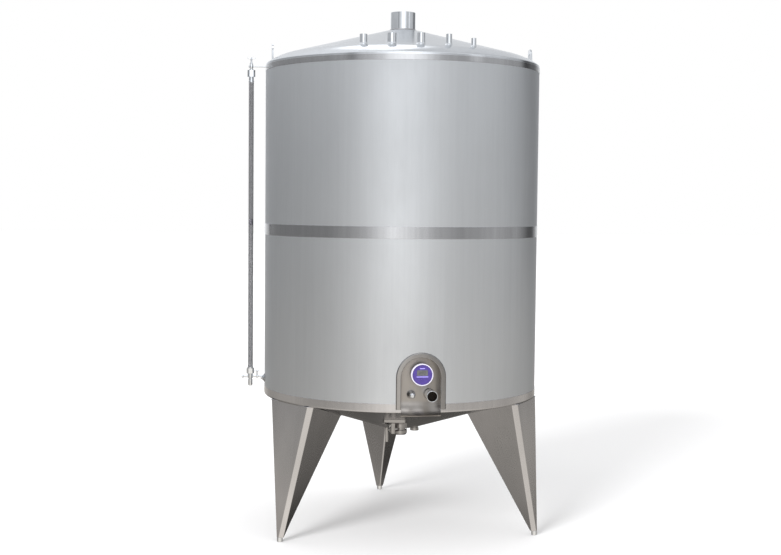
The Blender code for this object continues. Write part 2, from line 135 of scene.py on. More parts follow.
# Materials.
def new_material(name, metallic, roughness):
    mat = bpy.data.materials.new(name)
    mat.use_nodes = True
    shader = mat.node_tree.nodes["Principled BSDF"]
    shader.inputs["Metallic"].default_value = metallic
    shader.inputs["Roughness"].default_value = roughness
    return mat, mat.node_tree, shader


def noise(tree, stretch, detail=3.0):
    """Noise over the piece's own coordinates, stretched along an axis by a smaller scale."""
    where = tree.nodes.new("ShaderNodeTexCoord")
    scale = tree.nodes.new("ShaderNodeMapping")
    scale.inputs["Scale"].default_value = stretch
    cloud = tree.nodes.new("ShaderNodeTexNoise")
    cloud.inputs["Scale"].default_value = 1.0
    cloud.inputs["Detail"].default_value = detail
    tree.links.new(where.outputs["Object"], scale.inputs["Vector"])
    tree.links.new(scale.outputs["Vector"], cloud.inputs["Vector"])
    return cloud.outputs[0]


def spread(tree, value, low, high):
    """Spread a noise value, which stays near a half, over a range."""
    node = tree.nodes.new("ShaderNodeMapRange")
    node.inputs["From Min"].default_value = 0.30
    node.inputs["From Max"].default_value = 0.70
    node.inputs["To Min"].default_value = low
    node.inputs["To Max"].default_value = high
    tree.links.new(value, node.inputs["Value"])
    return node.outputs["Result"]


def times(tree, one, two):
    node = tree.nodes.new("ShaderNodeMath")
    node.operation = "MULTIPLY"
    tree.links.new(one, node.inputs[0])
    tree.links.new(two, node.inputs[1])
    return node.outputs[0]


def tinted(tree, color, factor):
    """A colour made lighter and darker by a factor."""
    node = tree.nodes.new("ShaderNodeVectorMath")
    node.operation = "SCALE"
    node.inputs[0].default_value = color
    tree.links.new(factor, node.inputs["Scale"])
    return node.outputs[0]


def bumped(tree, height, distance, strength, normal=None):
    node = tree.nodes.new("ShaderNodeBump")
    node.inputs["Distance"].default_value = distance
    node.inputs["Strength"].default_value = strength
    tree.links.new(height, node.inputs["Height"])
    if normal is not None:
        tree.links.new(normal, node.inputs["Normal"])
    return node.outputs["Normal"]


def steel(name, color, roughness, streak=0.05, smudge=0.05, grain=0.10, wave=0.0, lie=(1, 1, 0.03)):
    """Stainless steel: long streaks along the least axis of its lie, soft smudges, fine grain."""
    mat, tree, shader = new_material(name, 1.0, roughness)
    fine = noise(tree, [520.0 * part for part in lie], 2.0)
    long_streaks = noise(tree, [46.0 * part for part in lie], 4.0)
    clouds = noise(tree, (2.6, 2.6, 1.7), 3.0)
    tone = times(tree, spread(tree, long_streaks, 1.0 - streak, 1.0 + streak),
                 spread(tree, clouds, 1.0 + smudge, 1.0 - smudge))
    tree.links.new(tinted(tree, color, tone), shader.inputs["Base Color"])
    rough = times(tree, spread(tree, clouds, roughness * 0.9, roughness * 1.12),
                  spread(tree, fine, 0.90, 1.10))
    tree.links.new(rough, shader.inputs["Roughness"])
    normal = None
    if wave > 0.0:
        normal = bumped(tree, noise(tree, (3.2, 3.2, 0.9), 2.0), 0.004, wave)
    tree.links.new(bumped(tree, fine, 0.0002, grain, normal), shader.inputs["Normal"])
    return mat


def plastic(name, color, roughness, mottle=0.04):
    mat, tree, shader = new_material(name, 0.0, roughness)
    clouds = noise(tree, (60.0, 60.0, 60.0), 3.0)
    tree.links.new(tinted(tree, color, spread(tree, clouds, 1.0 - mottle, 1.0 + mottle)),
                   shader.inputs["Base Color"])
    pores = noise(tree, (1400.0, 1400.0, 1400.0), 2.0)
    tree.links.new(bumped(tree, pores, 0.0001, 0.2), shader.inputs["Normal"])
    return mat


def glass(name, color, roughness):
    mat, tree, shader = new_material(name, 0.0, roughness)
    shader.inputs["Transmission Weight"].default_value = 1.0
    shader.inputs["IOR"].default_value = 1.47
    film = noise(tree, (70.0, 70.0, 3.0), 3.0)
    tree.links.new(tinted(tree, color, spread(tree, film, 0.95, 1.04)), shader.inputs["Base Color"])
    tree.links.new(spread(tree, film, roughness * 0.6, roughness * 1.6), shader.inputs["Roughness"])
    return mat


SHELL_STEEL = steel("shell_steel", SILVER, 0.48, streak=0.018, smudge=0.035, grain=0.05, wave=0.02)
BAND_STEEL = steel("band_steel", SMOKE, 0.17, streak=0.05, smudge=0.05, grain=0.05, wave=0.02)
ROOF_STEEL = steel("roof_steel", BRIGHT, 0.16, streak=0.03, smudge=0.06, grain=0.05, wave=0.12,
                   lie=(1, 1, 1))
# The niche's sheet, weld and collar: warm steel, darkened as painted shade in the recessed pocket.
NICHE_SHADED_STEEL = steel("niche_steel_painted_shade", WARM_SHADE_TONE, 0.33, streak=0.05, smudge=0.07, grain=0.08, wave=0.05)
FRAME_STEEL = steel("frame_steel", GREY, 0.24, streak=0.04, smudge=0.05, grain=0.05)
ARCH_STEEL = steel("arch_steel", DULL, 0.15, streak=0.04, smudge=0.08, grain=0.05, lie=(1, 1, 1))
LEG_STEEL = steel("leg_steel", GREY, 0.25, streak=0.02, smudge=0.10, grain=0.02, wave=0.50)
FITTING_STEEL = steel("fitting_steel", BRIGHT, 0.13, streak=0.03, smudge=0.05, grain=0.02,
                      lie=(1, 1, 1))
VALVE_STEEL = steel("valve_steel", DULL, 0.11, streak=0.05, smudge=0.08, grain=0.05, lie=(1, 1, 1))
WELD_STEEL = steel("weld_steel", GREY, 0.38, streak=0.08, smudge=0.08, grain=0.4, lie=(1, 1, 1))
# Painted shade: a near-black steel for the inside of the outlet's bore, standing in for the shadow deep in
# the pipe.
BORE_SHADE = steel("bore_painted_shade", (0.055, 0.046, 0.038), 0.50, streak=0.1, smudge=0.1, grain=0.2,
                   lie=(1, 1, 1))
TUBE_GLASS = glass("tube_glass", (0.45, 0.45, 0.46), 0.06)
WHITE_PLASTIC = plastic("white_plastic_skin", (0.76, 0.73, 0.84), 0.35)
VIOLET_PLASTIC = plastic("violet_plastic_skin", (0.064, 0.037, 0.24), 0.30, 0.15)
SCREEN_PLASTIC = plastic("screen_plastic", (0.12, 0.12, 0.125), 0.25, 0.15)
LILAC_INK = plastic("lilac_ink", (0.42, 0.36, 0.90), 0.4)
DARK_INK = plastic("dark_ink", (0.045, 0.045, 0.05), 0.4)


# Shapes, each one returned as a bmesh.
def rounded(corners, steps=5):
    """A closed outline from (a, b, radius) corners, each one rounded by its radius."""
    outline = []
    count = len(corners)
    for i, corner in enumerate(corners):
        here = Vector(corner[:2])
        radius = corner[2] if len(corner) > 2 else 0.0
        if radius <= 0.0:
            outline.append(tuple(here))
            continue
        back = (Vector(corners[i - 1][:2]) - here).normalized()
        ahead = (Vector(corners[(i + 1) % count][:2]) - here).normalized()
        half = back.angle(ahead) / 2.0
        centre = here + (back + ahead).normalized() * (radius / math.sin(half))
        first = here + back * (radius / math.tan(half)) - centre
        last = here + ahead * (radius / math.tan(half)) - centre
        start = math.atan2(first.y, first.x)
        turn = math.atan2(first.x * last.y - first.y * last.x, first.dot(last))
        for k in range(steps + 1):
            angle = start + turn * k / steps
            outline.append((centre.x + radius * math.cos(angle), centre.y + radius * math.sin(angle)))
    return outline


def turned(profile, steps=STEPS, start=0.0, sweep=360.0):
    """Turn a closed profile of (radius, z) points about +Z."""
    bm = bmesh.new()
    whole = sweep >= 360.0
    columns = steps if whole else steps + 1
    grid = []
    poles = {}
    for i in range(columns):
        column = []
        for k, (radius, z) in enumerate(profile):
            if radius == 0.0:
                if k not in poles:
                    poles[k] = bm.verts.new((0.0, 0.0, z))
                column.append(poles[k])
            else:
                column.append(bm.verts.new(polar(radius, start + sweep * i / steps, z)))
        grid.append(column)
    size = len(profile)
    for i in range(steps):
        near = grid[i]
        far = grid[(i + 1) % columns]
        for k in range(size):
            loop = []
            for vert in (near[k], far[k], far[(k + 1) % size], near[(k + 1) % size]):
                if vert not in loop:
                    loop.append(vert)
            if len(loop) >= 3:
                bm.faces.new(loop)
    if not whole:
        bm.faces.new(grid[0])
        bm.faces.new(grid[-1])
    return bm


def lofted(rings, closed=False, capped=True):
    """Skin a run of rings of points that have the same count."""
    bm = bmesh.new()
    grid = []
    for ring in rings:
        grid.append([bm.verts.new(spot) for spot in ring])
    size = len(rings[0])
    pairs = len(grid) if closed else len(grid) - 1
    for i in range(pairs):
        near = grid[i]
        far = grid[(i + 1) % len(grid)]
        for k in range(size):
            bm.faces.new((near[k], near[(k + 1) % size], far[(k + 1) % size], far[k]))
    if capped and not closed:
        bm.faces.new(grid[0])
        bm.faces.new(grid[-1])
    return bm


def prism(outline, low, high, edge=0.0, steps=3):
    """Raise a closed outline of (x, z) points along y, with its two rims rounded."""
    layers = [(low, 0.0), (high, 0.0)]
    if edge > 0.0:
        layers = []
        for k in range(steps + 1):
            angle = math.pi / 2.0 * k / steps
            layers.append((low + edge * (1.0 - math.sin(angle)), edge * (1.0 - math.cos(angle))))
        layers = layers[::-1] + [(low + high - y, inset) for y, inset in layers]
    layers.sort()
    rings = []
    for y, inset in layers:
        rings.append([Vector((x, y, z)) for x, z in shrunk(outline, inset)])
    return lofted(rings)


def shrunk(outline, inset):
    """An outline moved inwards by an inset, corner by corner."""
    if inset <= 0.0:
        return outline
    area = 0.0
    count = len(outline)
    for i in range(count):
        a, b = outline[i], outline[(i + 1) % count]
        area += a[0] * b[1] - b[0] * a[1]
    side = 1.0 if area > 0.0 else -1.0
    corners = []
    for i in range(count):
        here = Vector(outline[i])
        back = (here - Vector(outline[i - 1])).normalized()
        ahead = (Vector(outline[(i + 1) % count]) - here).normalized()
        inward = Vector((-back.y - ahead.y, back.x + ahead.x)) * side
        share = max(inward.length / 2.0, 0.35)
        corners.append(tuple(here + inward.normalized() * (inset / share)))
    return corners


def box_outline(x_low, z_low, x_high, z_high, radius):
    return rounded([(x_low, z_low, radius), (x_high, z_low, radius), (x_high, z_high, radius),
                    (x_low, z_high, radius)])


def tube(path, radii, steps=12, closed=False):
    """A round bar along a path of points, with a radius at each one."""
    rings = []
    count = len(path)
    side = None
    for i, spot in enumerate(path):
        ahead = path[(i + 1) % count] if closed or i + 1 < count else spot
        behind = path[i - 1] if closed or i > 0 else spot
        along = (ahead - behind).normalized()
        if side is None:
            side = along.orthogonal().normalized()
        side = (side - along * side.dot(along)).normalized()
        across = along.cross(side)
        radius = radii[i] if isinstance(radii, (list, tuple)) else radii
        rings.append([spot + (side * math.cos(2 * math.pi * k / steps)
                              + across * math.sin(2 * math.pi * k / steps)) * radius
                      for k in range(steps)])
    return lofted(rings, closed)


def bead(path, radius, closed=False):
    """A weld bead: a bar along a path, with the ripples of its puddles."""
    ripples = [radius * (1.0 + 0.13 * math.sin(2.1 * i)) for i in range(len(path))]
    return tube(path, ripples, 8, closed)


def merged(first, *others):
    """Several bodies in one bmesh, not fused."""
    for other in others:
        mesh = bpy.data.meshes.new("passing")
        other.to_mesh(mesh)
        other.free()
        first.from_mesh(mesh)
        bpy.data.meshes.remove(mesh)
    return first


def moved(bm, matrix):
    bmesh.ops.transform(bm, matrix=matrix, verts=bm.verts)
    return bm


def stood(bm, start, direction):
    """Stand a body that was made about +Z on another line."""
    turn = Vector((0, 0, 1)).rotation_difference(Vector(direction).normalized())
    return moved(bm, Matrix.Translation(start) @ turn.to_matrix().to_4x4())


def fused(first, second, operation="DIFFERENCE"):
    """Cut, join or intersect two closed bodies."""
    pair = []
    for bm in (first, second):
        bmesh.ops.recalc_face_normals(bm, faces=bm.faces)
        mesh = bpy.data.meshes.new("passing")
        bm.to_mesh(mesh)
        bm.free()
        ob = bpy.data.objects.new("passing", mesh)
        scene.collection.objects.link(ob)
        pair.append(ob)
    mod = pair[0].modifiers.new("shape", "BOOLEAN")
    mod.operation = operation
    mod.solver = "EXACT"
    mod.object = pair[1]
    bpy.context.view_layer.update()
    graph = bpy.context.evaluated_depsgraph_get()
    mesh = bpy.data.meshes.new_from_object(pair[0].evaluated_get(graph))
    result = bmesh.new()
    result.from_mesh(mesh)
    bpy.data.meshes.remove(mesh)
    for ob in pair:
        bpy.data.meshes.remove(ob.data, do_unlink=True)
    bmesh.ops.remove_doubles(result, verts=result.verts, dist=0.00002)
    return result


def piece(name, bm, mat, replaced=(), body="tank", sharp=35.0):
    """Give a bmesh its place, material and body, and hide what it stands for."""
    moved(bm, TO_ROW)
    bmesh.ops.recalc_face_normals(bm, faces=bm.faces)
    mesh = bpy.data.meshes.new(name)
    bm.to_mesh(mesh)
    bm.free()
    mesh.materials.append(mat)
    mesh.shade_smooth()
    mesh.set_sharp_from_angle(angle=rad(sharp))
    ob = bpy.data.objects.new(name, mesh)
    scene.collection.objects.link(ob)
    # Long faces keep their own normals beside the small ones of a rounded edge.
    ob.modifiers.new("normals", "WEIGHTED_NORMAL").keep_sharp = True
    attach(ob, body)
    if replaced:
        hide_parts(*replaced)
    return ob


def soften(ob, width, segments=3, limit=30.0):
    """Round a piece's hard edges, and keep its flats flat."""
    mod = ob.modifiers.new("edges", "BEVEL")
    mod.width = width
    mod.segments = segments
    mod.limit_method = "ANGLE"
    mod.angle_limit = rad(limit)
    mod.harden_normals = True
    return ob


# Shell.
SIDES = ("front", "right", "back", "left")
NICHE = place_of("niche_frame")
NICHE_HALF = NICHE[1].x
NICHE_INNER = 0.095
Z_ARCH = NICHE[1].z - NICHE_HALF
R_NICHE_BACK = 0.654
R_NICHE_FACE = -NICHE[0].y


def arch(half, sill, steps=48):
    outline = [(-half, sill), (half, sill)]
    for i in range(steps + 1):
        angle = math.pi * i / steps
        outline.append((half * math.cos(angle), Z_ARCH + half * math.sin(angle)))
    return outline


def niche_pocket():
    """What the niche takes out of the wall. The frame's feet stand on what is left below them."""
    behind = turned([(0.0, 0.3), (R_NICHE_BACK, 0.3), (R_NICHE_BACK, 1.3), (0.0, 1.3)], 512)
    sill = NICHE[0].z - GAP
    foot = [(-NICHE_INNER, sill), (-NICHE_INNER, 0.60), (NICHE_INNER, 0.60), (NICHE_INNER, sill)]
    outline = foot + arch(NICHE_HALF + GAP, sill)[1:] + [(-NICHE_HALF - GAP, sill)]
    return fused(prism(outline, -0.80, -0.50), behind)


def make_shell():
    upper = rounded([(R_INNER, Z_SPLIT), (R_SHELL, Z_SPLIT), (R_SHELL, Z_RIM_TOP), (R_INNER, Z_RIM_TOP)])
    piece("shell_upper", turned(upper), SHELL_STEEL,
          ["upper_wall_" + side for side in SIDES])
    lower = rounded([
        (R_INNER, cone_z(R_INNER)),
        (R_SHELL, Z_RIM_LOW, RIM_ROUND),
        (R_SHELL, Z_SPLIT - GAP),
        (R_INNER, Z_SPLIT - GAP),
    ], 6)
    piece("shell_lower", fused(turned(lower), niche_pocket()), SHELL_STEEL,
          ["lower_wall_" + side for side in SIDES])


def make_bands():
    for name, node in (("band_middle", "middle_band"), ("band_top", "top_ring")):
        low, high = place_of(node)
        profile = rounded([(SKIN_IN, low.z), (SKIN_OUT, low.z, BAND_EDGE), (SKIN_OUT, high.z, BAND_EDGE),
                           (SKIN_IN, high.z)], 3)
        piece(name, turned(profile), BAND_STEEL, [node])
    drop = SKIN_OUT - R_SHELL
    profile = rounded([
        (SKIN_OUT, Z_RING_HIGH, BAND_EDGE),
        (SKIN_OUT, under_z(SKIN_OUT) - drop, RIM_ROUND + drop),
        (R_RING_SKIRT, under_z(R_RING_SKIRT) - drop),
        (R_RING_SKIRT, under_z(R_RING_SKIRT) - GAP),
        (SKIN_IN, under_z(SKIN_IN) - GAP, RIM_ROUND + GAP),
        (SKIN_IN, Z_RING_HIGH),
    ], 8)
    ring = fused(turned(profile), niche_pocket())
    piece("band_bottom", ring, FRAME_STEEL, ["bottom_ring"])


def make_roof():
    profile = rounded([
        (R_SHELL, Z_RIM_TOP),
        (R_SHELL, roof_z(R_SHELL), ROOF_ROUND),
        (R_ROOF_EDGE, roof_z(R_ROOF_EDGE)),
    ], 8)[:-1]
    for i in range(17):
        r = R_ROOF_EDGE + (R_KNUCKLE - R_ROOF_EDGE) * i / 16.0
        profile.append((r, roof_z(r)))
    neck_low, neck_high = place_of("neck_pipe")
    r_neck = neck_high.x
    hole = r_neck + GAP
    for share in (0.25, 0.5, 0.75):
        r = R_KNUCKLE - (R_KNUCKLE - hole) * share
        profile.append((r, roof_z(r)))
    profile += [(hole, roof_z(hole)), (hole, roof_z(hole) - PLATE),
                (R_INNER, Z_RIM_TOP + 0.010), (R_INNER, Z_RIM_TOP)]
    piece("roof_cone", turned(profile), ROOF_STEEL, ["roof"])
    bore = r_neck - 0.003
    lip = 0.0011
    pipe = turned(rounded([(bore, neck_low.z), (r_neck, neck_low.z), (r_neck, neck_high.z, lip),
                           (bore, neck_high.z, lip)], 4), 128)
    piece("neck", pipe, FITTING_STEEL, ["neck_pipe"])
    ring = [polar(r_neck + 0.0012, i * 2.0, roof_z(r_neck) + 0.0008) for i in range(180)]
    piece("neck_weld", bead(ring, 0.0026, True), WELD_STEEL)


def on_roof(spot, lift):
    """The point above or below a spot that stands off the roof by a lift."""
    return Vector((spot.x, spot.y, roof_z(math.hypot(spot.x, spot.y)) + lift))


NOZZLE_PITCH = 13.6
R_NOZZLE_CIRCLE = 0.580
NOZZLE_RADII = (0.018, 0.0215, 0.019, 0.014, 0.012)
NOZZLE_WALL = 0.0025
# The fillet at a nozzle's foot: how far out of its wall, and how high over the roof.
NOZZLE_FILLET = ((0.0062, -0.003), (0.0060, 0.0), (0.0034, 0.0007), (0.0018, 0.0020), (0.0007, 0.0042),
                 (0.0, 0.0085))


def make_nozzles():
    steps = 64
    lip = 0.0009
    floor = roof_z(R_NOZZLE_CIRCLE) + 0.012
    for i, radius in enumerate(NOZZLE_RADII):
        node = "roof_nozzle_%d" % (i + 1)
        top = place_of(node)[1].z
        foot = polar(R_NOZZLE_CIRCLE, 270.0 + NOZZLE_PITCH * (i - 2), 0.0)
        rings = []
        for out, lift in NOZZLE_FILLET:
            sides = [polar(radius + out, 360.0 * k / steps, 0.0) for k in range(steps)]
            rings.append([on_roof(foot + side, lift) for side in sides])
        bore = radius - NOZZLE_WALL
        for r, z in ((radius, top - lip), (radius - lip * 0.3, top - lip * 0.3), (radius - lip, top),
                     (bore + lip * 0.6, top), (bore, top - lip), (bore, floor)):
            rings.append([foot + polar(r, 360.0 * k / steps, z) for k in range(steps)])
        piece("nozzle_%d" % (i + 1), lofted(rings), FITTING_STEEL, [node])


# Lifting lugs: side, azimuth and distance from the axis.
LUGS = (("left", 178.0, 0.666), ("right", 358.0, 0.665))
LUG_ROUND = 0.036
LUG_THICK = 0.009
R_LUG_EYE = 0.014


def make_lugs():
    for side, azimuth, radius in LUGS:
        node = "lifting_lug_" + side
        rise = place_of(node)[1].z - roof_z(radius) - LUG_ROUND
        foot = LUG_ROUND + 0.006
        outline = [(-foot, -0.004), (foot, -0.004)]
        for i in range(33):
            angle = math.pi * i / 32.0
            outline.append((LUG_ROUND * math.cos(angle), rise + LUG_ROUND * math.sin(angle)))
        plate = prism(outline, -LUG_THICK / 2.0, LUG_THICK / 2.0, 0.0012)
        eye = stood(turned([(0.0, 0.0), (R_LUG_EYE, 0.0), (R_LUG_EYE, 0.04), (0.0, 0.04)], 48),
                    (0, 0.02, rise), (0, -1, 0))
        plate = fused(plate, eye)
        stand = (Matrix.Translation(polar(radius, azimuth, roof_z(radius)))
                 @ Matrix.Rotation(rad(azimuth + 90.0), 4, "Z"))
        ob = piece("lug_" + side, moved(plate, stand), FITTING_STEEL, [node])
        soften(ob, 0.0007, 2, 60.0)
        welds = []
        for face in (-1.0, 1.0):
            line = [Vector((foot * (k / 12.0 - 1.0), face * LUG_THICK / 2.0, 0.0)) for k in range(25)]
            path = [on_roof(stand @ spot, 0.0007) for spot in line]
            welds.append(bead(path, 0.0022))
        piece("lug_weld_" + side, merged(*welds), WELD_STEEL)


# Bottom, legs and feet.
LEGS = (("back", 90.0), ("left", 210.0), ("right", 330.0))
LEG_HALF_ANGLE = 14.0
R_LEG_TOP = 0.694
R_LEG_RIDGE = 0.366
R_LEG_FOOT = 0.740
LEG_FOOT_HALF = 0.0140
LEG_FOOT_DEEP = 0.026
FOOT_INSET = 0.002
Z_LEG_RISE = 0.74
Z_FOOT_TOP = place_of("leg_back")[0].z
SEAT = 0.0008
FOLD_TOP = 0.032
FOLD_FOOT = 0.026
FOLD_ROUND = 0.0045


def make_bottom():
    outer = R_INNER - GAP
    profile = rounded([
        (outer, cone_z(outer)),
        (R_SUMP, Z_SUMP, 0.05),
        (0.0, Z_SUMP),
        (0.0, Z_SUMP + PLATE),
        (R_SUMP, Z_SUMP + PLATE, 0.05),
        (outer, cone_z(outer) + PLATE),
    ], 6)
    piece("bottom_plate", turned(profile), LEG_STEEL, ["bottom_cone"])
    ring = [polar(outer, i * 0.75, cone_z(outer) + 0.0006) for i in range(480)]
    piece("bottom_weld", bead(ring, 0.0022, True), WELD_STEEL)


def leg_section(corners, fold, ridge_round):
    """A three-sided section, its outer corners folded to a flat, as (x, y) points."""
    points = []
    for i in (0, 1):
        before = (corners[i - 1] - corners[i]).normalized()
        after = (corners[i + 1] - corners[i]).normalized()
        across = (after - before).normalized() * (fold / 2.0)
        for spot in (corners[i] - across, corners[i] + across):
            points.append((spot.x, spot.y, FOLD_ROUND))
    points.append((corners[2].x, corners[2].y, ridge_round))
    return rounded(points, 5)


def to_slope(low, high):
    """Where the line from low through high meets the underside of the bottom."""
    near, far = 0.0, 1.3
    for _ in range(40):
        share = (near + far) / 2.0
        spot = low + (high - low) * share
        if spot.z < under_z(math.hypot(spot.x, spot.y)) - SEAT:
            near = share
        else:
            far = share
    return low + (high - low) * near


def make_legs():
    top = []
    for spot in (polar(R_LEG_TOP, -LEG_HALF_ANGLE, 0.0), polar(R_LEG_TOP, LEG_HALF_ANGLE, 0.0),
                 Vector((R_LEG_RIDGE, 0.0, 0.0))):
        top.append(Vector((spot.x, spot.y, cone_z(spot.length))))
    foot = [Vector((R_LEG_FOOT, -LEG_FOOT_HALF, Z_FOOT_TOP)),
            Vector((R_LEG_FOOT, LEG_FOOT_HALF, Z_FOOT_TOP)),
            Vector((R_LEG_FOOT - LEG_FOOT_DEEP, 0.0, Z_FOOT_TOP))]
    rise = []
    for spot, target in zip(foot, top):
        rise.append(spot + (target - spot) * ((Z_LEG_RISE - Z_FOOT_TOP) / (target.z - Z_FOOT_TOP)))
    low = leg_section(foot, FOLD_FOOT, 0.006)
    high = leg_section(rise, FOLD_TOP, 0.012)
    lines = []
    for (x, y), (u, v) in zip(low, high):
        start = Vector((x, y, Z_FOOT_TOP))
        lines.append((start, to_slope(start, Vector((u, v, Z_LEG_RISE)))))
    rings = []
    for k in range(9):
        rings.append([start.lerp(end, k / 8.0) for start, end in lines])
    for side, azimuth in LEGS:
        turn = Matrix.Rotation(rad(azimuth), 4, "Z")
        piece("leg_sheet_" + side, moved(lofted(rings), turn), LEG_STEEL, ["leg_" + side])
        seam = []
        for i, (start, end) in enumerate(lines):
            following = lines[(i + 1) % len(lines)][1]
            pieces = max(1, int((following - end).length / 0.006))
            seam += [end.lerp(following, k / pieces) for k in range(pieces)]
        seam = [Vector((p.x, p.y, under_z(math.hypot(p.x, p.y)) - 0.0012)) for p in seam]
        piece("leg_weld_" + side, moved(bead(seam, 0.0024, True), turn), WELD_STEEL)
        make_foot(side, azimuth)


def make_foot(side, azimuth):
    low, high = place_of("foot_" + side)
    radius = (high.x - low.x) / 2.0
    profile = rounded([(0.0, 0.0), (radius - 0.001, 0.0, 0.0015), (radius, 0.008, 0.001),
                       (radius, high.z, 0.0012), (0.0, high.z)], 4)
    centre = polar(R_LEG_FOOT - FOOT_INSET, azimuth, 0.0)
    piece("foot_pad_" + side, moved(turned(profile, 48), Matrix.Translation(centre)), FITTING_STEEL,
          ["foot_" + side])


# Niche with its frame, back sheet and apron.
FRAME_ROUND_OUT = 0.0055
FRAME_ROUND_IN = 0.0035
APRON_THICK = 0.003
APRON_CURL = 0.0742
APRON_TURN = 66.4
Z_APRON_CURL = 0.735


def on_wall(x, z, radius):
    """The front point of a wall of a radius."""
    return Vector((x, -math.sqrt(radius * radius - x * x), z))


def make_niche():
    centre = (NICHE_HALF + NICHE_INNER) / 2.0
    half = (NICHE_HALF - NICHE_INNER) / 2.0
    sill = NICHE[0].z
    section = rounded([
        (-half, R_NICHE_BACK + GAP),
        (-half, R_NICHE_FACE, FRAME_ROUND_IN),
        (half, R_NICHE_FACE, FRAME_ROUND_OUT),
        (half, R_NICHE_BACK + GAP),
    ], 6)
    path = []
    for k in range(9):
        path.append((Vector((centre, sill + (Z_ARCH - sill) * k / 8.0)), Vector((1.0, 0.0))))
    for k in range(1, 64):
        angle = math.pi * k / 64.0
        way = Vector((math.cos(angle), math.sin(angle)))
        path.append((Vector((0.0, Z_ARCH)) + way * centre, way))
    for k in range(9):
        path.append((Vector((-centre, Z_ARCH - (Z_ARCH - sill) * k / 8.0)), Vector((-1.0, 0.0))))
    rings = []
    for spot, way in path:
        rings.append([on_wall(spot.x + way.x * u, spot.y + way.y * u, r) for u, r in section])
    piece("niche_arch", lofted(rings), ARCH_STEEL, ["niche_frame"])

    edge = NICHE_INNER - GAP
    face_r = R_NICHE_BACK + GAP + APRON_THICK
    rows = []
    for k in range(17):
        angle = rad(APRON_TURN) * (1.0 - k / 16.0)
        out = math.cos(angle)
        up = math.sin(angle)
        rows.append((face_r + APRON_CURL * (1.0 - out), Z_APRON_CURL - APRON_CURL * up, out, up, edge))
    top = Z_ARCH + edge
    for k in range(1, 41):
        z = Z_APRON_CURL + (top - 0.0008 - Z_APRON_CURL) * k / 40.0
        half_width = edge if z <= Z_ARCH else math.sqrt(edge * edge - (z - Z_ARCH) ** 2)
        rows.append((face_r, z, 1.0, 0.0, half_width))
    columns = 33
    rings = []
    for r, z, out, up, half_width in rows:
        across = [half_width * (2.0 * k / (columns - 1) - 1.0) for k in range(columns)]
        ring = [on_wall(x, z, r) for x in across]
        ring += [on_wall(x, z - APRON_THICK * up, r - APRON_THICK * out) for x in reversed(across)]
        rings.append(ring)
    piece("niche_sheet", lofted(rings), NICHE_SHADED_STEEL, ["niche_apron"], sharp=50.0)
    welds = []
    for side in (-1.0, 1.0):
        path = [on_wall(side * (edge - 0.0006), sill + (Z_ARCH - sill) * k / 30.0, face_r + 0.0006)
                for k in range(31)]
        welds.append(bead(path, 0.0014))
    piece("niche_weld", merged(*welds), NICHE_SHADED_STEEL)


# Outlet, sample stub and thermometer, which all start inside the wall.
R_ROOT = 0.645


def make_outlet():
    low, high = place_of("outlet_pipe")
    centre = (low + high) / 2.0
    radius = (high.x - low.x) / 2.0
    bore = radius - 0.003
    neck = radius - 0.0045
    length = -low.y - R_ROOT
    pipe = turned(rounded([
        (bore, 0.0),
        (neck, 0.0),
        (neck, length - 0.016, 0.004),
        (radius, length - 0.010, 0.002),
        (radius, length, 0.0018),
        (bore, length, 0.0012),
    ], 5), 96)
    spot = (centre.x, -R_ROOT, centre.z)
    piece("outlet", stood(pipe, spot, (0, -1, 0)), FITTING_STEEL, ["outlet_pipe"])
    floor = 0.016
    # A dark cup inside the bore: painted shade where the pipe's inside lies in shadow.
    bore_shade_cup = turned([(0.0, floor), (bore - 0.0001, floor), (bore - 0.0001, length - 0.003),
                     (bore - 0.0012, length - 0.003), (bore - 0.0012, floor + 0.004),
                     (0.0, floor + 0.004)], 64)
    piece("outlet_bore_shade", stood(bore_shade_cup, spot, (0, -1, 0)), BORE_SHADE)
    collar = turned(rounded([(neck, 0.0), (radius + 0.004, 0.0, 0.002), (neck, 0.006, 0.001)], 4), 64)
    stood(collar, (centre.x, -R_NICHE_BACK - 0.001, centre.z), (0, -1, 0))
    piece("outlet_collar", collar, NICHE_SHADED_STEEL)


def make_stub():
    low, high = place_of("sample_stub")
    centre = (low + high) / 2.0
    boss = (high.x - low.x) / 2.0
    radius = 0.013
    length = -low.y - R_ROOT
    body = turned(rounded([
        (0.0, 0.0),
        (boss, 0.0),
        (boss, 0.012, 0.004),
        (radius + 0.0035, length - 0.034, 0.012),
        (radius, length - 0.022, 0.006),
        (radius, length - 0.006, 0.005),
        (radius - 0.006, length, 0.003),
        (0.0, length),
    ], 8), 64)
    piece("stub_sample", stood(body, (centre.x, -R_ROOT, centre.z), (0, -1, 0)), FITTING_STEEL,
          ["sample_stub"])


# The strokes of a seven-stroke digit, as the ends of each one on a grid of 1 by 2.
STROKES = {
    "top": ((0, 2), (1, 2)), "middle": ((0, 1), (1, 1)), "foot": ((0, 0), (1, 0)),
    "left_high": ((0, 1), (0, 2)), "left_low": ((0, 0), (0, 1)),
    "right_high": ((1, 1), (1, 2)), "right_low": ((1, 0), (1, 1)),
}
DIGITS = {
    "2": ("top", "right_high", "middle", "left_low", "foot"),
    "4": ("left_high", "middle", "right_high", "right_low"),
    "0": ("top", "foot", "left_high", "left_low", "right_high", "right_low"),
}


def stroke(start, end, width, y, thick):
    """A flat bar between two (x, z) points, standing off a face that looks along -Y."""
    start, end = Vector(start), Vector(end)
    along = (end - start).normalized() * (width * 0.62)
    across = Vector((-along.y, along.x)).normalized() * (width / 2.0)
    tip = Vector((along.x, along.y)).normalized() * (width / 2.0)
    points = [start + along - tip, start + along + across, end - along + across, end - along + tip,
              end - along - across, start + along - across]
    return prism([tuple(spot) for spot in points], y - thick, y)


